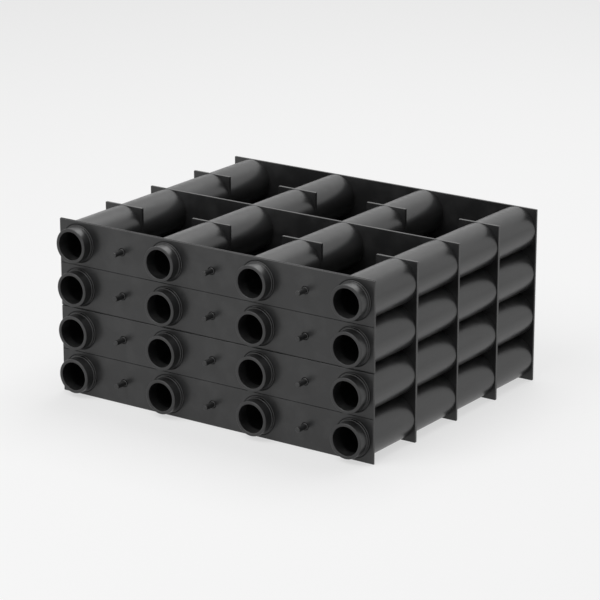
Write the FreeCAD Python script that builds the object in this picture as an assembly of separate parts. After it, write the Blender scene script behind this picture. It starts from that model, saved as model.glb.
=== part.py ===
# Soakaway crate: two identical mouldings, one standing on the other.
# A moulding is a bank of level tubes, held by a flange at each end, a wall at mid-length
# and a fin on each column halfway along each bay. The bays between the columns are open
# from top to bottom, so water runs down between the tubes as well as along them.
# Every tube ends in a socket in front and a spigot behind, which join crates in a row.
# Millimetres. X runs across the columns, Y from the sockets back to the spigots, Z is up.
# The origin is the middle of the underside.

import FreeCAD, Part

import os

# The bank of tubes
COLUMNS = 4
ROWS_PER_HALF = 2
TUBE_DIAMETER = 60.0
TUBE_WALL = 3.0
ROW_GAP = 0.5
COLUMN_GAP = 86.0
BODY_LENGTH = 398.0

# The plates across the tubes
FLANGE_THICKNESS = 3.5
FLANGE_CHAMFER = 0.8
MID_WALL_THICKNESS = 3.5
FIN_THICKNESS = 4.0
PLATE_RIM = 1.0
GROOVE_WIDTH = 0.8
GROOVE_DEPTH = 1.0

# The step along the front flange's upper and lower edges, which leaves a slot at the seam
STEP_HEIGHT = 0.5
STEP_DEPTH = 2.0

# The socket in front of each tube: a collar, then a narrower nose with the bore
BORE_DIAMETER = 38.5
MOUTH_CHAMFER = 0.8
NOSE_WALL = 4.5
NOSE_LENGTH = 13.5
NOSE_CHAMFER = 1.0
COLLAR_STEP = 1.0
COLLAR_WALL = 3.0
COLLAR_LENGTH = 3.5

# The spigot behind each tube, which enters the bore of the next crate's socket
SPIGOT_CLEARANCE = 0.5
SPIGOT_WALL = 3.0
SPIGOT_LENGTH = 17.0
SPIGOT_CHAMFER = 1.0

# The pegs between the sockets, which are as long as the sockets
PEG_DIAMETER = 7.0

# Two positions closer than this are the same
SAME = 1e-6

# The grid that the tubes stand on
ROW_PITCH = TUBE_DIAMETER + ROW_GAP
COLUMN_PITCH = TUBE_DIAMETER + COLUMN_GAP
HALF_HEIGHT = ROWS_PER_HALF * ROW_PITCH
FIN_WIDTH = TUBE_DIAMETER + 2 * PLATE_RIM
CRATE_WIDTH = (COLUMNS - 1) * COLUMN_PITCH + FIN_WIDTH
COLUMN_XS = [(column - (COLUMNS - 1) / 2) * COLUMN_PITCH for column in range(COLUMNS)]
ROW_ZS = [(row + 0.5) * ROW_PITCH for row in range(ROWS_PER_HALF)]

# Radii of the turned parts
TUBE_RADIUS = TUBE_DIAMETER / 2
HOLLOW_RADIUS = TUBE_RADIUS - TUBE_WALL
BORE_RADIUS = BORE_DIAMETER / 2
NOSE_RADIUS = BORE_RADIUS + NOSE_WALL
COLLAR_RADIUS = NOSE_RADIUS + COLLAR_STEP
COLLAR_HOLLOW_RADIUS = COLLAR_RADIUS - COLLAR_WALL
SPIGOT_RADIUS = BORE_RADIUS - SPIGOT_CLEARANCE
SPIGOT_HOLLOW_RADIUS = SPIGOT_RADIUS - SPIGOT_WALL
PEG_RADIUS = PEG_DIAMETER / 2

# Stations along the crate, from the tips of the sockets to the tips of the spigots
SOCKET_LENGTH = COLLAR_LENGTH + NOSE_LENGTH
OVERALL_LENGTH = SOCKET_LENGTH + BODY_LENGTH + SPIGOT_LENGTH
SOCKET_TIP_Y = -OVERALL_LENGTH / 2
NOSE_ROOT_Y = SOCKET_TIP_Y + NOSE_LENGTH
BORE_END_Y = NOSE_ROOT_Y + COLLAR_WALL
FRONT_FACE_Y = SOCKET_TIP_Y + SOCKET_LENGTH
HOLLOW_START_Y = FRONT_FACE_Y + FLANGE_THICKNESS
BACK_FACE_Y = FRONT_FACE_Y + BODY_LENGTH
HOLLOW_END_Y = BACK_FACE_Y - FLANGE_THICKNESS
SPIGOT_TIP_Y = BACK_FACE_Y + SPIGOT_LENGTH
MIDDLE_Y = FRONT_FACE_Y + BODY_LENGTH / 2
FIN_YS = [(FRONT_FACE_Y + MIDDLE_Y) / 2, (MIDDLE_Y + BACK_FACE_Y) / 2]


def turned(section, x, z):
    """Turn a section, a list of (radius, y) points, about the level axis at x and z."""
    points = [FreeCAD.Vector(x + radius, y, z) for radius, y in section]
    face = Part.Face(Part.makePolygon(points + points[:1]))
    return face.revolve(FreeCAD.Vector(x, 0, z), FreeCAD.Vector(0, 1, 0), 360)


def plate(x, width, y, thickness):
    """A plate as high as one half, centred across on x and starting at y."""
    return Part.makeBox(
        width, thickness, HALF_HEIGHT, FreeCAD.Vector(x - width / 2, y, 0)
    )


def chamfered_flange(y, outer_y):
    """An end flange starting at y, with the edges of its face at outer_y chamfered."""
    blank = plate(0, CRATE_WIDTH, y, FLANGE_THICKNESS)
    rim = [
        edge
        for edge in blank.Edges
        if all(abs(corner.Y - outer_y) < SAME for corner in edge.Vertexes)
    ]
    return blank.makeChamfer(FLANGE_CHAMFER, rim)


def level_cut(depth, height, z):
    """What a cut across the front flange's face takes away, from z upwards."""
    corner = FreeCAD.Vector(-CRATE_WIDTH / 2, FRONT_FACE_Y, z)
    return Part.makeBox(CRATE_WIDTH, depth, height, corner)


def front_flange():
    """The flange behind the sockets, with a fine groove across it at mid-height."""
    groove = level_cut(GROOVE_DEPTH, GROOVE_WIDTH, (HALF_HEIGHT - GROOVE_WIDTH) / 2)
    lower_step = level_cut(STEP_DEPTH, STEP_HEIGHT, 0)
    upper_step = level_cut(STEP_DEPTH, STEP_HEIGHT, HALF_HEIGHT - STEP_HEIGHT)
    flange = chamfered_flange(FRONT_FACE_Y, FRONT_FACE_Y)
    return flange.cut([groove, lower_step, upper_step])


def back_flange():
    """The flange that carries the spigots."""
    return chamfered_flange(HOLLOW_END_Y, BACK_FACE_Y)


def mid_wall():
    """The full-width wall at mid-length."""
    return plate(
        0, CRATE_WIDTH, MIDDLE_Y - MID_WALL_THICKNESS / 2, MID_WALL_THICKNESS
    )


def fins():
    """One fin on each column of tubes, halfway along the front bay and the back bay."""
    return [
        plate(x, FIN_WIDTH, y - FIN_THICKNESS / 2, FIN_THICKNESS)
        for x in COLUMN_XS
        for y in FIN_YS
    ]


def tube_outside(x, z):
    """A tube with its socket and its spigot, as if they were solid right through."""
    section = [
        (0, SOCKET_TIP_Y),
        (NOSE_RADIUS - NOSE_CHAMFER, SOCKET_TIP_Y),
        (NOSE_RADIUS, SOCKET_TIP_Y + NOSE_CHAMFER),
        (NOSE_RADIUS, NOSE_ROOT_Y),
        (COLLAR_RADIUS, NOSE_ROOT_Y),
        (COLLAR_RADIUS, HOLLOW_START_Y),
        (TUBE_RADIUS, HOLLOW_START_Y),
        (TUBE_RADIUS, HOLLOW_END_Y),
        (SPIGOT_RADIUS, HOLLOW_END_Y),
        (SPIGOT_RADIUS, SPIGOT_TIP_Y - SPIGOT_CHAMFER),
        (SPIGOT_RADIUS - SPIGOT_CHAMFER, SPIGOT_TIP_Y),
        (0, SPIGOT_TIP_Y),
    ]
    return turned(section, x, z)


def tube_hollow(x, z):
    """The water's way through a tube, from the mouth of the socket to the spigot's end."""
    section = [
        (0, SOCKET_TIP_Y),
        (BORE_RADIUS + MOUTH_CHAMFER, SOCKET_TIP_Y),
        (BORE_RADIUS, SOCKET_TIP_Y + MOUTH_CHAMFER),
        (BORE_RADIUS, BORE_END_Y),
        (COLLAR_HOLLOW_RADIUS, BORE_END_Y),
        (COLLAR_HOLLOW_RADIUS, HOLLOW_START_Y),
        (HOLLOW_RADIUS, HOLLOW_START_Y),
        (HOLLOW_RADIUS, HOLLOW_END_Y),
        (SPIGOT_HOLLOW_RADIUS, HOLLOW_END_Y),
        (SPIGOT_HOLLOW_RADIUS, SPIGOT_TIP_Y),
        (0, SPIGOT_TIP_Y),
    ]
    return turned(section, x, z)


def peg(x, z):
    """A round peg that stands out of the front flange as far as the sockets do."""
    root = FreeCAD.Vector(x, HOLLOW_START_Y, z)
    length = HOLLOW_START_Y - SOCKET_TIP_Y
    return Part.makeCylinder(PEG_RADIUS, length, root, FreeCAD.Vector(0, -1, 0))


def half_crate():
    """One moulding, standing on the ground plane."""
    tube_places = [(x, z) for x in COLUMN_XS for z in ROW_ZS]
    peg_places = [
        ((left + right) / 2, z)
        for left, right in zip(COLUMN_XS, COLUMN_XS[1:])
        for z in ROW_ZS
    ]
    solids = [back_flange(), mid_wall()] + fins()
    solids += [tube_outside(x, z) for x, z in tube_places]
    solids += [peg(x, z) for x, z in peg_places]
    hollows = [tube_hollow(x, z) for x, z in tube_places]
    return front_flange().multiFuse(solids).cut(hollows).removeSplitter()


lower_half = half_crate()
upper_half = lower_half.translated(FreeCAD.Vector(0, 0, HALF_HEIGHT))

os.makedirs("parts", exist_ok=True)
for node, shape in {"lower_half": lower_half, "upper_half": upper_half}.items():
    shape.exportStep(f"parts/{node}.step")
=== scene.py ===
"""Soakaway crate: the looks of two stacked mouldings in satin black plastic.

A moulding is a bank of level tubes. Flanges hold the tubes at their ends, a wall holds them
at mid-length, and a fin on each column holds them halfway along each bay. Each tube ends in a
socket in front and a spigot behind, and pegs stand between the sockets. Lengths are in metres,
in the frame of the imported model: X across the columns, Y from the sockets back to the spigots,
and Z up from the ground.
"""

from __future__ import annotations

import logging
import math
from collections.abc import Iterable, Mapping, Sequence
from dataclasses import dataclass, replace
from enum import Enum
from typing import Any

import bmesh
import bpy
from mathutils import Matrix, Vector

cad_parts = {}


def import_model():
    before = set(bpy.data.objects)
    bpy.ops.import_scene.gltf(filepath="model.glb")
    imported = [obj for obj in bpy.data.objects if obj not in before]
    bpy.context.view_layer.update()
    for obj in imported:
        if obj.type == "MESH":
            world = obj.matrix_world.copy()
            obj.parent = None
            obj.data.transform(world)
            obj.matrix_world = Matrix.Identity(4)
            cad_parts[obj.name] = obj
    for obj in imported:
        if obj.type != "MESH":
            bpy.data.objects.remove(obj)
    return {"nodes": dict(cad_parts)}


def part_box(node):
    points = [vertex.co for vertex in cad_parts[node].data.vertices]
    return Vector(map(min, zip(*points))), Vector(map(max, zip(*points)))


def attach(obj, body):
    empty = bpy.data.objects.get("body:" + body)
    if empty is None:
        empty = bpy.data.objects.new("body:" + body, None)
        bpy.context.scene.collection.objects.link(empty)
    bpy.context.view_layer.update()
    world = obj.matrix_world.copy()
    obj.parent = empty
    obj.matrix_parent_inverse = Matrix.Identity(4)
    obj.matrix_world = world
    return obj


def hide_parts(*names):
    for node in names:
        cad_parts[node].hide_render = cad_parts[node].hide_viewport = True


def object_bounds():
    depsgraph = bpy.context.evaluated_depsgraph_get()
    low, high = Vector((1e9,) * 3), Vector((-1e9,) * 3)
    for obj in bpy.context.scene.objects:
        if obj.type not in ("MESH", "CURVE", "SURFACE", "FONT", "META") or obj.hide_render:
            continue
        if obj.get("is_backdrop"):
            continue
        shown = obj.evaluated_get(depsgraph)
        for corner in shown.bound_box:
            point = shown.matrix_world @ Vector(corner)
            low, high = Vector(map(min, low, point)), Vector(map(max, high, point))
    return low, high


MM = 0.001
NEAR = 0.1 * MM
WHITE = (1.0, 1.0, 1.0, 1.0)
LOG = logging.getLogger("soakaway_crate")

Numbers = tuple[float, float, float]


class Slot(Enum):
    """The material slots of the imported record."""

    PLASTIC = "crate_plastic"


class Side(Enum):
    """The side of a flange that faces away from the crate's middle."""

    FRONT = -1
    BACK = 1


class Signal:
    """A number that a node works out. Arithmetic on signals adds the nodes for it."""

    def __init__(self, builder: TreeBuilder, socket: bpy.types.NodeSocket) -> None:
        """Wrap a socket.

        Args:
            builder: The builder whose tree holds the socket.
            socket: The output that carries the number.
        """
        self.builder = builder
        self.socket = socket

    def maths(self, operation: str, *others: Signal | float) -> Signal:
        """Apply a Math node to this signal.

        Args:
            operation: The Math node's operation.
            others: Its further operands.

        Returns:
            The node's result.
        """
        values = dict(enumerate((self, *others)))
        node = self.builder.add("ShaderNodeMath", {"operation": operation}, values)
        return Signal(self.builder, node.outputs[0])

    def __add__(self, other: Signal | float) -> Signal:
        """Return this signal plus another."""
        return self.maths("ADD", other)

    def __sub__(self, other: Signal | float) -> Signal:
        """Return this signal less another."""
        return self.maths("SUBTRACT", other)

    def __rsub__(self, other: float) -> Signal:
        """Return a number less this signal."""
        return (self * -1.0) + other

    def __mul__(self, other: Signal | float) -> Signal:
        """Return this signal times another."""
        return self.maths("MULTIPLY", other)

    __radd__ = __add__
    __rmul__ = __mul__

    def above(self, limit: Signal | float) -> Signal:
        """Return 1 where this signal is over a limit, and 0 elsewhere."""
        return self.maths("GREATER_THAN", limit)

    def size(self) -> Signal:
        """Return this signal without its sign."""
        return self.maths("ABSOLUTE")

    def between(self, low: float, high: float) -> Signal:
        """Return 0 below low and 1 above high, with a smooth rise from one to the other."""
        settings = {"interpolation_type": "SMOOTHSTEP", "clamp": True}
        values = {"Value": self, "From Min": low, "From Max": high}
        node = self.builder.add("ShaderNodeMapRange", settings, values)
        return Signal(self.builder, node.outputs["Result"])


class TreeBuilder:
    """Adds nodes to a node tree and joins them up."""

    def __init__(self, tree: bpy.types.NodeTree) -> None:
        """Start building in a tree."""
        self.tree = tree

    def add(
        self,
        kind: str,
        settings: Mapping[str, Any] | None = None,
        values: Mapping[str | int, Any] | None = None,
    ) -> bpy.types.Node:
        """Add a node, set it up and feed its inputs.

        Args:
            kind: The node's type.
            settings: The node's own settings, which are set first.
            values: What each input gets, by name or number: a signal, a socket or a value.

        Returns:
            The new node.
        """
        node = self.tree.nodes.new(kind)
        for name, setting in (settings or {}).items():
            setattr(node, name, setting)
        for key, value in (values or {}).items():
            self.feed(node.inputs[key], value)
        return node

    def feed(self, target: bpy.types.NodeSocket, value: Any) -> None:
        """Give an input its value.

        Args:
            target: The input.
            value: A signal or a socket to link to it, or a plain value.
        """
        source = value.socket if isinstance(value, Signal) else value
        if isinstance(source, bpy.types.NodeSocket):
            self.tree.links.new(source, target)
        else:
            target.default_value = source

    def signal(self, kind: str, output: str, *arguments: Mapping[Any, Any]) -> Signal:
        """Add a node for one number.

        Args:
            kind: The node's type.
            output: The name of the output that carries the number.
            arguments: The node's settings and values, as add takes them.

        Returns:
            That output as a signal.
        """
        return Signal(self, self.add(kind, *arguments).outputs[output])


class ShapeTree(TreeBuilder):
    """A Geometry Nodes tree with named inputs, which ends in Realize Instances."""

    KINDS = {float: "NodeSocketFloat", int: "NodeSocketInt", tuple: "NodeSocketVector"}

    def __init__(self, name: str, inputs: Mapping[str, float | int | Numbers]) -> None:
        """Make the tree and its inputs.

        Args:
            name: The tree's name.
            inputs: The name and value of each size that the tree takes.
        """
        super().__init__(bpy.data.node_groups.new(name, "GeometryNodeTree"))
        self.sizes = dict(inputs)
        face = self.tree.interface
        face.new_socket("Geometry", in_out="INPUT", socket_type="NodeSocketGeometry")
        for size, value in self.sizes.items():
            face.new_socket(
                size, in_out="INPUT", socket_type=self.KINDS[type(value)]
            )
        face.new_socket(
            "Material", in_out="INPUT", socket_type="NodeSocketMaterial"
        )
        face.new_socket("Geometry", in_out="OUTPUT", socket_type="NodeSocketGeometry")
        self.entry = self.tree.nodes.new("NodeGroupInput")

    def given(self, name: str) -> Signal:
        """Return an input of the tree."""
        return Signal(self, self.entry.outputs[name])

    def join(self, *sources: bpy.types.NodeSocket) -> bpy.types.NodeSocket:
        """Join several geometries.

        Args:
            sources: The outputs that carry them.

        Returns:
            The output that carries them all.
        """
        node = self.add("GeometryNodeJoinGeometry")
        for source in sources:
            self.tree.links.new(source, node.inputs[0])
        return node.outputs[0]

    def close(self, geometry: bpy.types.NodeSocket) -> None:
        """End the tree with its result.

        Args:
            geometry: What the tree has made.
        """
        plain = self.add("GeometryNodeRealizeInstances", None, {"Geometry": geometry})
        dressed = self.add(
            "GeometryNodeSetMaterial",
            None,
            {"Geometry": plain.outputs[0], "Material": self.given("Material")},
        )
        self.add("NodeGroupOutput", None, {"Geometry": dressed.outputs[0]})

    def run(self, carrier: bpy.types.Object, material: bpy.types.Material) -> None:
        """Put the tree on an object.

        Args:
            carrier: The object whose mesh goes into the tree.
            material: The material of what comes out.
        """
        modifier = carrier.modifiers.new(self.tree.name, "NODES")
        modifier.node_group = self.tree
        values = {**self.sizes, "Material": material}
        for item in self.tree.interface.items_tree:
            if item.in_out == "INPUT" and item.name in values:
                modifier[item.identifier] = values[item.name]


def finished_mesh(carrier: bpy.types.Object, name: str) -> bpy.types.Mesh:
    """Turn an object's live modifiers into a plain mesh, and remove the object.

    Args:
        carrier: The object with its modifiers.
        name: The name of the mesh.

    Returns:
        The plain mesh.
    """
    depsgraph = bpy.context.evaluated_depsgraph_get()
    depsgraph.update()
    mesh = bpy.data.meshes.new_from_object(carrier.evaluated_get(depsgraph))
    mesh.name = name
    source = carrier.data
    bpy.data.objects.remove(carrier)
    bpy.data.meshes.remove(source)
    return mesh


def carrier_of(mesh: bpy.types.Mesh) -> bpy.types.Object:
    """Link a mesh to the scene as an object, so that modifiers can work on it."""
    carrier = bpy.data.objects.new(mesh.name, mesh)
    bpy.context.scene.collection.objects.link(carrier)
    return carrier


@dataclass(frozen=True)
class Corner:
    """A corner of a turned section.

    Attributes:
        radius: Its distance from the axis.
        along: Its place along the axis.
        rounding: The radius of the arc that rounds it, or 0 for a sharp one.
    """

    radius: float
    along: float
    rounding: float = 0.0


@dataclass(frozen=True)
class Turning:
    """How finely a section is rounded and turned."""

    around: int = 64
    per_arc: int = 4
    sharp_degrees: float = 28.0
    closing: float = 1e-6

    def outline(self, corners: Sequence[Corner]) -> list[Vector]:
        """Round a section's corners.

        Args:
            corners: The corners of the closed section, in order.

        Returns:
            The points of the rounded section, as (radius, along).
        """
        points: list[Vector] = []
        for index, corner in enumerate(corners):
            here = Vector((corner.radius, corner.along))
            before = Vector((corners[index - 1].radius, corners[index - 1].along))
            following = corners[(index + 1) % len(corners)]
            after = Vector((following.radius, following.along))
            way_in = (here - before).normalized()
            way_out = (after - here).normalized()
            turn = way_in.angle_signed(way_out)
            if not corner.rounding:
                points.append(here)
                continue
            reach = corner.rounding * math.tan(abs(turn) / 2)
            for step in range(self.per_arc + 1):
                share = step / self.per_arc
                start = here - way_in * reach
                points.append(
                    self.on_arc(start, way_in, turn * share, corner.rounding)
                )
        return points

    @staticmethod
    def on_arc(start: Vector, way: Vector, turn: float, radius: float) -> Vector:
        """Walk along an arc.

        Args:
            start: Where the arc starts.
            way: The direction of the walk there.
            turn: The angle walked, clockwise if positive.
            radius: The arc's radius.

        Returns:
            The point that the walk comes to.
        """
        across = Vector((way.y, -way.x)) * math.copysign(1.0, turn)
        angle = abs(turn)
        return (
            start
            + way * (radius * math.sin(angle))
            + across * (radius * (1 - math.cos(angle)))
        )

    def turned(self, name: str, sections: Iterable[Sequence[Corner]]) -> bpy.types.Mesh:
        """Turn closed sections about the Y axis.

        Args:
            name: The name of the mesh.
            sections: The corners of each section.

        Returns:
            The mesh of all the turned bodies.
        """
        shape = bmesh.new()
        angles = [math.tau * step / self.around for step in range(self.around)]
        for section in sections:
            outline = self.outline(section)
            rings = [
                [
                    shape.verts.new(
                        (p.x * math.cos(angle), p.y, p.x * math.sin(angle))
                    )
                    for p in outline
                ]
                for angle in angles
            ]
            for ring, following in zip(rings, rings[1:] + rings[:1]):
                for step in range(len(outline)):
                    after = (step + 1) % len(outline)
                    shape.faces.new(
                        (ring[step], ring[after], following[after], following[step])
                    )
        bmesh.ops.remove_doubles(shape, verts=shape.verts, dist=self.closing)
        loose = [edge for edge in shape.edges if edge.is_wire]
        bmesh.ops.delete(shape, geom=loose, context="EDGES")
        bmesh.ops.recalc_face_normals(shape, faces=shape.faces)
        mesh = bpy.data.meshes.new(name)
        shape.to_mesh(mesh)
        shape.free()
        mesh.shade_smooth()
        mesh.set_sharp_from_angle(angle=math.radians(self.sharp_degrees))
        return mesh


@dataclass(frozen=True)
class CrateSizes:
    """The sizes of one moulding, in metres."""

    columns: int = 4
    rows: int = 2
    tube_radius: float = 30.0 * MM
    tube_wall: float = 3.0 * MM
    row_pitch: float = 60.5 * MM
    column_pitch: float = 146.0 * MM
    plate_rim: float = 1.0 * MM
    flange: float = 3.5 * MM
    mid_wall: float = 3.5 * MM
    fin: float = 4.0 * MM
    groove_width: float = 0.8 * MM
    groove_depth: float = 1.0 * MM
    step_height: float = 0.5 * MM
    step_depth: float = 2.0 * MM
    bore_radius: float = 19.25 * MM
    nose_wall: float = 4.5 * MM
    nose_length: float = 13.5 * MM
    collar_step: float = 1.0 * MM
    collar_wall: float = 3.0 * MM
    collar_length: float = 3.5 * MM
    spigot_clearance: float = 0.5 * MM
    spigot_wall: float = 3.0 * MM
    spigot_length: float = 17.0 * MM
    peg_radius: float = 3.5 * MM

    @property
    def height(self) -> float:
        """The height of one moulding."""
        return self.rows * self.row_pitch

    @property
    def fin_width(self) -> float:
        """The width of a fin, which is that of a tube with a rim on each side."""
        return 2 * (self.tube_radius + self.plate_rim)

    @property
    def width(self) -> float:
        """The width of the flanges and of the mid wall."""
        return (self.columns - 1) * self.column_pitch + self.fin_width

    @property
    def socket_length(self) -> float:
        """How far a socket stands out of the front flange."""
        return self.collar_length + self.nose_length


@dataclass(frozen=True)
class Stations:
    """Places along the crate, from the tips of the sockets to the tips of the spigots."""

    socket_tip: float
    nose_root: float
    bore_end: float
    front_face: float
    hollow_start: float
    middle: float
    hollow_end: float
    back_face: float
    spigot_tip: float

    @classmethod
    def within(cls, front: float, back: float, sizes: CrateSizes) -> Stations:
        """Set the stations out from the two ends of a packed moulding.

        Args:
            front: The place of the socket tips.
            back: The place of the spigot tips.
            sizes: The moulding's sizes.

        Returns:
            The stations.
        """
        front_face = front + sizes.socket_length
        back_face = back - sizes.spigot_length
        return cls(
            socket_tip=front,
            nose_root=front + sizes.nose_length,
            bore_end=front + sizes.nose_length + sizes.collar_wall,
            front_face=front_face,
            hollow_start=front_face + sizes.flange,
            middle=(front_face + back_face) / 2,
            hollow_end=back_face - sizes.flange,
            back_face=back_face,
            spigot_tip=back,
        )


@dataclass(frozen=True)
class Grid:
    """A grid of places across the crate, in columns and rows."""

    columns: int
    rows: int
    column_pitch: float
    row_pitch: float

    def inputs(self) -> dict[str, float | int]:
        """Return the grid as inputs of a shape tree."""
        return {
            "Columns": self.columns,
            "Rows": self.rows,
            "Column Pitch": self.column_pitch,
            "Row Pitch": self.row_pitch,
        }

    @staticmethod
    def points(tree: ShapeTree) -> bpy.types.NodeSocket:
        """Add the grid's points to a tree, in the XY plane about its origin.

        Args:
            tree: A tree with the grid's inputs.

        Returns:
            The points.
        """
        columns, rows = tree.given("Columns"), tree.given("Rows")
        node = tree.add(
            "GeometryNodeMeshGrid",
            None,
            {
                "Size X": (columns - 1.0) * tree.given("Column Pitch"),
                "Size Y": (rows - 1.0) * tree.given("Row Pitch"),
                "Vertices X": columns,
                "Vertices Y": rows,
            },
        )
        return node.outputs["Mesh"]


QUARTER_TURN: Numbers = (math.pi / 2, 0.0, 0.0)


@dataclass(frozen=True)
class Bank:
    """A body repeated on a grid that stands upright across the crate.

    Attributes:
        grid: The grid.
        centre: The grid's centre.
    """

    grid: Grid
    centre: Numbers

    def tree(self) -> ShapeTree:
        """Build the tree that repeats its input on the grid."""
        tree = ShapeTree("Bank", {**self.grid.inputs(), "Centre": self.centre})
        upright = tree.add(
            "GeometryNodeTransform",
            None,
            {
                "Geometry": Grid.points(tree),
                "Rotation": QUARTER_TURN,
                "Translation": tree.given("Centre"),
            },
        )
        copies = tree.add(
            "GeometryNodeInstanceOnPoints",
            None,
            {
                "Points": upright.outputs[0],
                "Instance": tree.given("Geometry"),
            },
        )
        tree.close(copies.outputs[0])
        return tree

    def made(
        self, unit: bpy.types.Mesh, material: bpy.types.Material
    ) -> bpy.types.Mesh:
        """Repeat a unit.

        Args:
            unit: The mesh of one body, which this uses up.
            material: Its material.

        Returns:
            The mesh of the whole bank.
        """
        carrier = carrier_of(unit)
        self.tree().run(carrier, material)
        return finished_mesh(carrier, f"{unit.name}_bank")


@dataclass(frozen=True)
class PiercedPlate:
    """An upright plate across the crate with a grid of round holes and rounded edges.

    Attributes:
        width: Its size along X.
        height: Its size along Z.
        thickness: Its size along Y.
        hole_radius: The radius of each hole.
        grid: The grid of holes, centred on the plate.
        front_rounding: The rounding of the front face's edges.
        back_rounding: The rounding of the back face's edges.
    """

    width: float
    height: float
    thickness: float
    hole_radius: float
    grid: Grid
    front_rounding: float = 0.4 * MM
    back_rounding: float = 0.4 * MM

    HOLE_POINTS = 64
    ROUNDING_STEPS = 3
    SHARP_FOLD = 1.0
    TINY = 1e-5

    def tree(self) -> ShapeTree:
        """Build the tree of the plate, with its middle at the origin."""
        tree = ShapeTree(
            "Pierced plate",
            {
                "Width": self.width,
                "Height": self.height,
                "Thickness": self.thickness,
                "Hole Radius": self.hole_radius,
                "Front Weight": self.front_rounding / self.widest_rounding,
                "Back Weight": self.back_rounding / self.widest_rounding,
                **self.grid.inputs(),
            },
        )
        outline = tree.add(
            "GeometryNodeCurvePrimitiveQuadrilateral",
            {"mode": "RECTANGLE"},
            {"Width": tree.given("Width"), "Height": tree.given("Height")},
        )
        circle = tree.add(
            "GeometryNodeCurvePrimitiveCircle",
            {"mode": "RADIUS"},
            {"Resolution": self.HOLE_POINTS, "Radius": tree.given("Hole Radius")},
        )
        holes = tree.add(
            "GeometryNodeInstanceOnPoints",
            None,
            {"Points": Grid.points(tree), "Instance": circle.outputs[0]},
        )
        curves = tree.join(holes.outputs[0], outline.outputs[0])
        plain = tree.add("GeometryNodeRealizeInstances", None, {"Geometry": curves})
        sheet = tree.add(
            "GeometryNodeFillCurve", {"mode": "NGONS"}, {0: plain.outputs[0]}
        )
        raised = tree.add(
            "GeometryNodeExtrudeMesh",
            {"mode": "FACES"},
            {
                "Mesh": sheet.outputs[0],
                "Offset Scale": tree.given("Thickness"),
                "Individual": False,
            },
        )
        underside = tree.add(
            "GeometryNodeFlipFaces", None, {"Mesh": sheet.outputs[0]}
        )
        both = tree.join(raised.outputs[0], underside.outputs[0])
        closed = tree.add(
            "GeometryNodeMergeByDistance",
            None,
            {"Geometry": both, "Distance": self.TINY},
        )
        marked = self.marked(tree, closed.outputs[0])
        upright = tree.add(
            "GeometryNodeTransform",
            None,
            {"Geometry": marked, "Rotation": QUARTER_TURN},
        )
        tree.close(upright.outputs[0])
        return tree

    def marked(
        self, tree: ShapeTree, geometry: bpy.types.NodeSocket
    ) -> bpy.types.NodeSocket:
        """Give the edges round the plate's rim their bevel weights.

        Args:
            tree: The plate's tree.
            geometry: The flat plate, with its front face on top.

        Returns:
            The plate with its weights.
        """
        place = tree.add("GeometryNodeInputPosition")
        parts = tree.add("ShaderNodeSeparateXYZ", None, {0: place.outputs[0]})
        x, y, z = (Signal(tree, parts.outputs[axis]) for axis in "XYZ")
        at_side = x.size().above(tree.given("Width") * 0.5 - self.TINY)
        at_end = y.size().above(tree.given("Height") * 0.5 - self.TINY)
        fold = tree.signal("GeometryNodeInputMeshEdgeAngle", "Unsigned Angle")
        rim = (at_side + at_end).above(0.5) * fold.above(self.SHARP_FOLD)
        in_front = z.above(tree.given("Thickness") * 0.5)
        front, back = tree.given("Front Weight"), tree.given("Back Weight")
        weight = rim * (back + in_front * (front - back))
        stored = tree.add(
            "GeometryNodeStoreNamedAttribute",
            {"data_type": "FLOAT", "domain": "EDGE"},
            {"Geometry": geometry, "Name": "bevel_weight_edge", "Value": weight},
        )
        return stored.outputs[0]

    @property
    def widest_rounding(self) -> float:
        """The larger of the two roundings."""
        return max(self.front_rounding, self.back_rounding)

    def made(
        self, name: str, front: float, foot: float, material: bpy.types.Material
    ) -> bpy.types.Mesh:
        """Make the plate in its place, centred across the crate.

        Args:
            name: The name of the mesh.
            front: The place of its front face along Y.
            foot: The height of its lower edge.
            material: Its material.

        Returns:
            The plate's mesh.
        """
        carrier = carrier_of(bpy.data.meshes.new(name))
        self.tree().run(carrier, material)
        bevel = carrier.modifiers.new("Rounded rim", "BEVEL")
        bevel.limit_method = "WEIGHT"
        bevel.width = self.widest_rounding
        bevel.segments = self.ROUNDING_STEPS
        mesh = finished_mesh(carrier, name)
        mesh.shade_flat()
        for vertex in mesh.vertices:
            vertex.co.y += front + self.thickness
            vertex.co.z += foot + self.height / 2
        return mesh


def joined(
    name: str, meshes: Iterable[bpy.types.Mesh], material: bpy.types.Material
) -> bpy.types.Object:
    """Join meshes into one object at the origin.

    Args:
        name: The object's name.
        meshes: The meshes, which this uses up.
        material: The material of the whole.

    Returns:
        The object.
    """
    shape = bmesh.new()
    for mesh in meshes:
        shape.from_mesh(mesh)
        bpy.data.meshes.remove(mesh)
    whole = bpy.data.meshes.new(name)
    shape.to_mesh(whole)
    shape.free()
    whole.materials.clear()
    whole.materials.append(material)
    return carrier_of(whole)


def scored(mesh: bpy.types.Mesh, face: float, height: float, sizes: CrateSizes) -> None:
    """Cut a fine level groove across the front of a plate.

    Args:
        mesh: The plate's mesh.
        face: The place of its front face along Y.
        height: The height of the groove.
        sizes: The moulding's sizes, with those of the groove.
    """
    shape = bmesh.new()
    shape.from_mesh(mesh)
    half = sizes.groove_width / 2
    for offset in (-half, 0.0, half):
        bmesh.ops.bisect_plane(
            shape,
            geom=shape.verts[:] + shape.edges[:] + shape.faces[:],
            plane_co=(0.0, 0.0, height + offset),
            plane_no=(0.0, 0.0, 1.0),
        )
    for vertex in shape.verts:
        on_line = abs(vertex.co.z - height) < NEAR
        if on_line and vertex.co.y - face < NEAR:
            vertex.co.y += sizes.groove_depth
    shape.to_mesh(mesh)
    shape.free()


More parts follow.
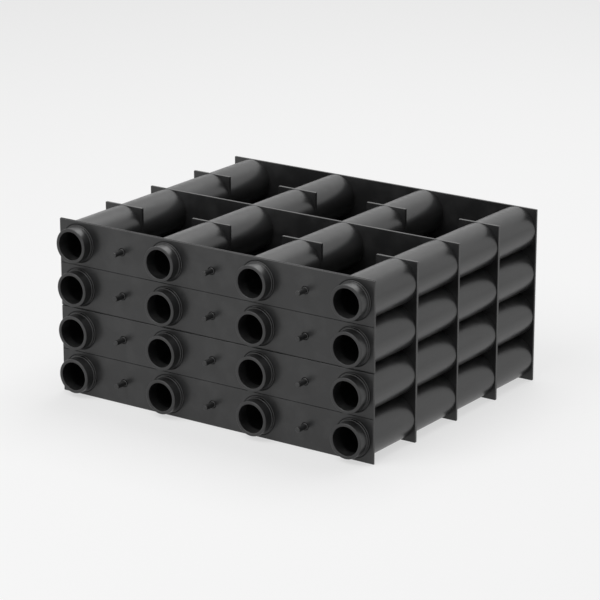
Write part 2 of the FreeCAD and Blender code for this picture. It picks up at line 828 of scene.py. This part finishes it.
@dataclass(frozen=True)
class Moulding:
    """One of the two mouldings.

    Attributes:
        node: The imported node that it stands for.
        sizes: Its sizes.
        stations: Its places along the crate.
        foot: The height of its lower edges.
    """

    node: str
    sizes: CrateSizes
    stations: Stations
    foot: float

    LIP = 0.9 * MM
    NOSE_EDGE = 1.1 * MM
    STEP_EDGE = 0.7 * MM
    ROOT = 1.0 * MM
    OVERLAP = 0.1 * MM
    FLANGE_EDGE = 0.8 * MM
    PEG_EDGE = 0.8 * MM
    PEG_POINTS = 24

    def centre(self, along: float) -> Numbers:
        """Return the middle of the moulding's height, at a place along the crate."""
        return (0.0, along, self.foot + self.sizes.height / 2)

    def tube_grid(self, columns: int | None = None) -> Grid:
        """Return the grid of the tubes, or as many of its columns as are asked for."""
        sizes = self.sizes
        return Grid(
            columns or sizes.columns, sizes.rows, sizes.column_pitch, sizes.row_pitch
        )

    def socket_section(self) -> list[Corner]:
        """Return the section of a socket: its nose, its step and its collar."""
        sizes, at = self.sizes, self.stations
        nose = sizes.bore_radius + sizes.nose_wall
        collar = nose + sizes.collar_step
        hollow = collar - sizes.collar_wall
        root = collar + self.ROOT
        embedded = at.front_face + sizes.flange / 2
        return [
            Corner(sizes.bore_radius, at.socket_tip, self.LIP),
            Corner(nose, at.socket_tip, self.NOSE_EDGE),
            Corner(nose, at.nose_root, self.STEP_EDGE / 2),
            Corner(collar, at.nose_root, self.STEP_EDGE),
            Corner(collar, at.front_face, self.ROOT),
            Corner(root + self.ROOT, at.front_face),
            Corner(root + self.ROOT, embedded),
            Corner(collar, embedded),
            Corner(collar, at.hollow_start),
            Corner(hollow, at.hollow_start, self.STEP_EDGE / 2),
            Corner(hollow, at.bore_end, self.STEP_EDGE / 2),
            Corner(sizes.bore_radius, at.bore_end, self.STEP_EDGE / 2),
        ]

    def barrel_section(self) -> list[Corner]:
        """Return the section of a tube between the flanges, whose ends hide in them."""
        sizes, at = self.sizes, self.stations
        hollow = sizes.tube_radius - sizes.tube_wall
        front = at.hollow_start - sizes.flange / 4
        back = at.hollow_end + sizes.flange / 4
        return [
            Corner(sizes.tube_radius, front),
            Corner(sizes.tube_radius, back),
            Corner(hollow, back),
            Corner(hollow, front),
        ]

    def spigot_section(self) -> list[Corner]:
        """Return the section of a spigot."""
        sizes, at = self.sizes, self.stations
        outside = sizes.bore_radius - sizes.spigot_clearance
        hollow = outside - sizes.spigot_wall
        root = outside + 2 * self.ROOT
        embedded = at.back_face - sizes.flange / 2
        return [
            Corner(hollow, at.hollow_end, self.STEP_EDGE / 2),
            Corner(outside, at.hollow_end),
            Corner(outside, embedded),
            Corner(root, embedded),
            Corner(root, at.back_face),
            Corner(outside, at.back_face, self.ROOT),
            Corner(outside, at.spigot_tip, self.NOSE_EDGE),
            Corner(hollow, at.spigot_tip, self.STEP_EDGE),
        ]

    def peg_section(self) -> list[Corner]:
        """Return the section of a peg, which is solid to its axis."""
        at, radius = self.stations, self.sizes.peg_radius
        embedded = at.front_face + self.sizes.flange / 2
        return [
            Corner(0.0, at.socket_tip),
            Corner(radius, at.socket_tip, self.PEG_EDGE),
            Corner(radius, at.front_face, self.ROOT),
            Corner(radius + 2 * self.ROOT, at.front_face),
            Corner(radius + 2 * self.ROOT, embedded),
            Corner(0.0, embedded),
        ]

    def tubes(self, material: bpy.types.Material) -> bpy.types.Mesh:
        """Make the bank of tubes with their sockets and spigots."""
        sections = (
            self.socket_section(),
            self.barrel_section(),
            self.spigot_section(),
        )
        unit = Turning().turned("tube", sections)
        return Bank(self.tube_grid(), self.centre(0.0)).made(unit, material)

    def pegs(self, material: bpy.types.Material) -> bpy.types.Mesh:
        """Make the pegs, one between each two columns in each row."""
        turning = Turning(around=self.PEG_POINTS)
        unit = turning.turned("peg", [self.peg_section()])
        grid = self.tube_grid(self.sizes.columns - 1)
        return Bank(grid, self.centre(0.0)).made(unit, material)

    def flange(self, side: Side, material: bpy.types.Material) -> list[bpy.types.Mesh]:
        """Make a flange, whose outer face has the larger rounding at its edges.

        Args:
            side: The side that its outer face looks to.
            material: Its material.

        Returns:
            The flange's meshes. The front flange has two: its face, which stops short of
            the seam, and the full-height sheet behind it.
        """
        sizes, at = self.sizes, self.stations
        outer = {f"{side.name.lower()}_rounding": self.FLANGE_EDGE}
        if side is Side.FRONT:
            hole = sizes.bore_radius + sizes.nose_wall + sizes.collar_step
            start = at.front_face
        else:
            hole = sizes.bore_radius - sizes.spigot_clearance
            start = at.hollow_end
        plate = PiercedPlate(
            sizes.width,
            sizes.height,
            sizes.flange,
            hole - self.OVERLAP,
            self.tube_grid(),
            **outer,
        )
        name = f"{side.name.lower()}_flange"
        if side is Side.BACK:
            return [plate.made(name, start, self.foot, material)]
        face = replace(
            plate, height=sizes.height - 2 * sizes.step_height, thickness=sizes.step_depth
        )
        backing = replace(
            plate, thickness=sizes.flange - sizes.step_depth, front_rounding=self.STEP_EDGE / 2
        )
        front = face.made(name, start, self.foot + sizes.step_height, material)
        scored(front, start, self.foot + sizes.height / 2, sizes)
        behind = backing.made(f"{name}_backing", start + sizes.step_depth, self.foot, material)
        return [front, behind]

    def wall(self, material: bpy.types.Material) -> bpy.types.Mesh:
        """Make the full-width wall at mid-length."""
        sizes = self.sizes
        plate = PiercedPlate(
            sizes.width,
            sizes.height,
            sizes.mid_wall,
            sizes.tube_radius - sizes.tube_wall / 2,
            self.tube_grid(),
        )
        front = self.stations.middle - sizes.mid_wall / 2
        return plate.made("mid_wall", front, self.foot, material)

    def fins(self, material: bpy.types.Material) -> list[bpy.types.Mesh]:
        """Make the fins: a row across the front bay and another across the back bay."""
        sizes, at = self.sizes, self.stations
        plate = PiercedPlate(
            sizes.fin_width,
            sizes.height,
            sizes.fin,
            sizes.tube_radius - sizes.tube_wall / 2,
            self.tube_grid(columns=1),
        )
        across = Bank(
            Grid(sizes.columns, 1, sizes.column_pitch, sizes.row_pitch),
            (0.0, 0.0, 0.0),
        )
        places = [
            (face + at.middle - sizes.fin) / 2 for face in (at.front_face, at.back_face)
        ]
        return [
            across.made(plate.made("fin", place, self.foot, material), material)
            for place in places
        ]

    def build(self, material: bpy.types.Material) -> bpy.types.Object:
        """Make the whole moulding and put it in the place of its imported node.

        Args:
            material: Its material.

        Returns:
            The moulding's object.
        """
        meshes = [
            self.tubes(material),
            self.pegs(material),
            *self.flange(Side.FRONT, material),
            *self.flange(Side.BACK, material),
            self.wall(material),
            *self.fins(material),
        ]
        shell = joined(f"{self.node}_moulding", meshes, material)
        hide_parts(self.node)
        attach(shell, "root")
        LOG.info("%s: %d faces", shell.name, len(shell.data.polygons))
        return shell


@dataclass(frozen=True)
class SatinPlastic:
    """Black moulded plastic with a satin grain, faint flow marks, and a lighter grey on upward
    faces that is partly a dusty film and partly painted top light.

    Attributes:
        black: The plastic's own colour.
        flow_grey: Its colour where a flow mark is strongest.
        flow_size: The size of the flow marks across the crate.
        flow_stretch: The scale of the flow marks' coordinates, which draws them out along Y.
        flow_detail: The finer octaves of the flow marks.
        flow_range: The noise at which a flow mark starts, and at which it is full.
        flow_amount: How much of the flow grey a full mark has.
        flow_roughness: What a full mark adds to the roughness.
        mottle_size: The size of the patches that vary the gloss and the lighter grey of upward
            faces.
        mottle_detail: The finer octaves of those patches.
        dust_and_top_light_grey: The lighter grey of upward faces, partly a dusty film and partly
            painted top light.
        dust_and_top_light_amount: How much of that grey the lightest place has.
        dust_and_top_light_slope: The upward part of the normal at which that grey starts, and is
            full.
        dust_and_top_light_range: The noise at which a patch of that grey starts, and at which it
            is full.
        dust_roughness: What a full patch of that grey adds to the roughness.
        roughness: The plain roughness.
        roughness_swing: How far the patches vary it.
        refraction: The index of refraction.
        grain_size: The size of the moulded grain.
        grain_depth: The height of the grain.
        grain_detail: The finer octaves of the grain.
        sink_size: The size of the shallow sinks that moulded walls have.
        sink_depth: The height of the sinks.
        sink_detail: The finer octaves of the sinks.
    """

    black: Numbers = (0.018, 0.0182, 0.0186)
    flow_grey: Numbers = (0.046, 0.0462, 0.0467)
    flow_size: float = 30.0 * MM
    flow_stretch: Numbers = (1.0, 0.2, 1.0)
    flow_detail: float = 4.0
    flow_range: tuple[float, float] = (0.4, 0.72)
    flow_amount: float = 0.55
    flow_roughness: float = 0.03
    mottle_size: float = 9.0 * MM
    mottle_detail: float = 5.0
    dust_and_top_light_grey: Numbers = (0.11, 0.108, 0.104)
    dust_and_top_light_amount: float = 0.18
    dust_and_top_light_slope: tuple[float, float] = (0.55, 1.0)
    dust_and_top_light_range: tuple[float, float] = (0.35, 0.8)
    dust_roughness: float = 0.12
    roughness: float = 0.31
    roughness_swing: float = 0.08
    refraction: float = 1.55
    grain_size: float = 0.7 * MM
    grain_depth: float = 0.012 * MM
    grain_detail: float = 2.0
    sink_size: float = 45.0 * MM
    sink_depth: float = 0.10 * MM
    sink_detail: float = 1.0

    def noise(
        self, build: TreeBuilder, place: Any, size: float, detail: float
    ) -> Signal:
        """Add a noise texture.

        Args:
            build: The material's builder.
            place: The coordinates that it reads.
            size: The size of its patches, in metres.
            detail: How many finer octaves it has.

        Returns:
            The noise, from 0 to 1.
        """
        values = {"Vector": place, "Scale": 1.0 / size, "Detail": detail}
        settings = {"noise_dimensions": "3D"}
        return build.signal("ShaderNodeTexNoise", "Fac", settings, values)

    def material(self, name: str) -> bpy.types.Material:
        """Build the material.

        Args:
            name: Its name.

        Returns:
            The material.
        """
        material = bpy.data.materials.new(name)
        material.use_nodes = True
        material.node_tree.nodes.clear()
        build = TreeBuilder(material.node_tree)
        place = build.add("ShaderNodeTexCoord").outputs["Object"]
        stretched = {"Vector": place, "Scale": self.flow_stretch}
        along = build.add("ShaderNodeMapping", None, stretched).outputs[0]
        marks = self.noise(build, along, self.flow_size, self.flow_detail)
        flow = marks.between(*self.flow_range)
        mottle = self.noise(build, place, self.mottle_size, self.mottle_detail)
        normal = build.add("ShaderNodeNewGeometry").outputs["Normal"]
        upward = build.add("ShaderNodeSeparateXYZ", None, {0: normal}).outputs["Z"]
        # Lighter grey on upward faces in patches: partly a dusty film, partly painted top light
        # on the tube crests.
        lying = Signal(build, upward).between(*self.dust_and_top_light_slope)
        dust_and_top_light = lying * mottle.between(*self.dust_and_top_light_range)
        tint = self.blend(build, flow * self.flow_amount, self.black, self.flow_grey)
        colour = self.blend(build, dust_and_top_light * self.dust_and_top_light_amount, tint, self.dust_and_top_light_grey)
        roughness = (
            (mottle - 0.5) * self.roughness_swing
            + dust_and_top_light * self.dust_roughness
            + flow * self.flow_roughness
            + self.roughness
        )
        grain = self.noise(build, place, self.grain_size, self.grain_detail)
        sink = self.noise(build, place, self.sink_size, self.sink_detail)
        relief = grain * self.grain_depth + sink * self.sink_depth
        bump = build.add(
            "ShaderNodeBump", None, {"Height": relief, "Strength": 1.0, "Distance": 1.0}
        )
        shader = build.add(
            "ShaderNodeBsdfPrincipled",
            None,
            {
                "Base Color": colour,
                "Roughness": roughness,
                "Normal": bump.outputs[0],
                "IOR": self.refraction,
            },
        )
        build.add("ShaderNodeOutputMaterial", None, {"Surface": shader.outputs[0]})
        return material

    @staticmethod
    def blend(build: TreeBuilder, share: Signal, first: Any, second: Any) -> Any:
        """Mix two colours.

        Args:
            build: The material's builder.
            share: How much of the second there is.
            first: The first colour, as numbers or a socket.
            second: The second.

        Returns:
            The mixed colour's socket.
        """
        colours = [(*c, 1.0) if isinstance(c, tuple) else c for c in (first, second)]
        mix = build.add("ShaderNodeMix", {"data_type": "RGBA"}, {"Factor": share})
        ends = [s for s in mix.inputs if s.type == "RGBA"]
        for target, colour in zip(ends, colours):
            build.feed(target, colour)
        return next(s for s in mix.outputs if s.type == "RGBA")


@dataclass(frozen=True)
class SoftBox:
    """A broad studio lamp that points at the crate.

    Attributes:
        name: Its name.
        azimuth: Degrees round from the crate's front, positive to the right.
        elevation: Degrees above the horizon.
        distance: How far it is from the crate's middle.
        width: Its level size.
        height: Its other size.
        watts: Its power.
    """

    name: str
    azimuth: float
    elevation: float
    distance: float
    width: float
    height: float
    watts: float

    def light(self, target: Vector) -> None:
        """Hang the lamp.

        Args:
            target: What it points at.
        """
        data = bpy.data.lights.new(self.name, "AREA")
        data.shape = "RECTANGLE"
        data.size = self.width
        data.size_y = self.height
        data.energy = self.watts
        lamp = bpy.data.objects.new(self.name, data)
        lamp.visible_camera = False
        back = direction(self.azimuth, self.elevation)
        lamp.location = target + back * self.distance
        lamp.rotation_euler = (-back).to_track_quat("-Z", "Y").to_euler()
        bpy.context.scene.collection.objects.link(lamp)


def direction(azimuth: float, elevation: float) -> Vector:
    """Return the way from the crate to a viewer or a lamp.

    Args:
        azimuth: Degrees round from the front, positive to the right.
        elevation: Degrees above the horizon.

    Returns:
        The direction, one metre long.
    """
    turn, rise = math.radians(azimuth), math.radians(elevation)
    level = math.cos(rise)
    return Vector(
        (math.sin(turn) * level, -math.cos(turn) * level, math.sin(rise))
    )


@dataclass(frozen=True)
class Studio:
    """The pale floor, the soft lamps, the surroundings and the camera.

    Attributes:
        azimuth: The camera's degrees round from the crate's front, to the right.
        elevation: The camera's degrees above the horizon.
        distance: How far the camera is from the crate's middle.
        lens: Its focal length, in millimetres.
        sight: How far it sees.
        floor_grey: The floor's grey where it is seen.
        bounce_grey: The floor's grey as it throws light back on the crate.
        floor_white: How much of plain white is mixed into the seen floor.
        floor_size: The length of the floor's sides.
        surround: The strength of the surroundings' light.
        lamps: The lamps.
    """

    azimuth: float = 34.8
    elevation: float = 17.5
    distance: float = 3.77
    lens: float = 168.0
    sight: float = 100.0
    floor_grey: float = 0.93
    bounce_grey: float = 0.35
    floor_white: float = 0.6
    floor_size: float = 30.0
    surround: float = 0.30
    lamps: tuple[SoftBox, ...] = (
        SoftBox(
            "key_lamp",
            azimuth=180.0,
            elevation=66.0,
            distance=3.2,
            width=2.4,
            height=2.0,
            watts=44.0,
        ),
        SoftBox(
            "front_lamp",
            azimuth=-15.0,
            elevation=50.0,
            distance=3.2,
            width=2.2,
            height=2.2,
            watts=38.0,
        ),
    )

    def floor(self) -> None:
        """Lay the floor."""
        half = self.floor_size / 2
        corners = [(-half, -half, 0), (half, -half, 0), (half, half, 0), (-half, half, 0)]
        mesh = bpy.data.meshes.new("studio_floor")
        mesh.from_pydata(corners, [], [(0, 1, 2, 3)])
        material = bpy.data.materials.new("pale_floor")
        material.use_nodes = True
        material.node_tree.nodes.clear()
        build = TreeBuilder(material.node_tree)
        pale, plain = (
            build.add("ShaderNodeBsdfDiffuse", None, {"Color": (grey, grey, grey, 1.0)})
            for grey in (self.floor_grey, self.bounce_grey)
        )
        white = build.add("ShaderNodeEmission", None, {"Color": WHITE})
        shown = build.add(
            "ShaderNodeMixShader",
            None,
            {0: self.floor_white, 1: pale.outputs[0], 2: white.outputs[0]},
        )
        mix = build.add(
            "ShaderNodeMixShader",
            None,
            {0: self.looked_at(build), 1: plain.outputs[0], 2: shown.outputs[0]},
        )
        build.add("ShaderNodeOutputMaterial", None, {"Surface": mix.outputs[0]})
        mesh.materials.append(material)
        carrier_of(mesh)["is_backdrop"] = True

    @staticmethod
    def looked_at(build: TreeBuilder) -> Signal:
        """Return 1 for what is seen, straight or in a reflection, and 0 for light."""
        path = build.add("ShaderNodeLightPath")
        rays = ("Is Camera Ray", "Is Glossy Ray", "Is Transmission Ray")
        seen, mirrored, through = (Signal(build, path.outputs[ray]) for ray in rays)
        return (seen + mirrored + through).above(0.5)

    def world(self) -> None:
        """Make the surroundings white to the eye and in reflections, and softer as light."""
        world = bpy.data.worlds.new("studio")
        bpy.context.scene.world = world
        world.use_nodes = True
        world.node_tree.nodes.clear()
        build = TreeBuilder(world.node_tree)
        strength = self.looked_at(build) * (1.0 - self.surround) + self.surround
        values = {"Color": WHITE, "Strength": strength}
        sky = build.add("ShaderNodeBackground", None, values)
        build.add("ShaderNodeOutputWorld", None, {"Surface": sky.outputs[0]})

    def camera(self, target: Vector) -> None:
        """Stand the camera where the photograph was taken from, aimed at the crate.

        Args:
            target: The crate's middle.
        """
        data = bpy.data.cameras.new("camera")
        data.lens = self.lens
        data.clip_end = self.sight
        camera = bpy.data.objects.new("camera", data)
        back = direction(self.azimuth, self.elevation)
        camera.location = target + back * self.distance
        camera.rotation_euler = (-back).to_track_quat("-Z", "Y").to_euler()
        bpy.context.scene.collection.objects.link(camera)
        bpy.context.scene.camera = camera

    def build(self, target: Vector) -> None:
        """Set the studio up round the crate's middle."""
        self.floor()
        self.world()
        self.camera(target)
        for lamp in self.lamps:
            lamp.light(target)
        bpy.context.scene.view_settings.view_transform = "Standard"


def main() -> None:
    """Build the crate in its studio."""
    logging.basicConfig(level=logging.INFO, format="%(name)s: %(message)s")
    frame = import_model()
    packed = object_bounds()
    lowest, highest = (Vector(corner) for corner in packed)
    sizes = CrateSizes()
    plastic = SatinPlastic().material("satin_black_plastic")
    for node in sorted(frame["nodes"]):
        low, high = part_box(node)
        stations = Stations.within(low[1], high[1], sizes)
        Moulding(node, sizes, stations, low[2]).build(plastic)
    Studio().build((lowest + highest) / 2)


if __name__ == "__main__":
    main()
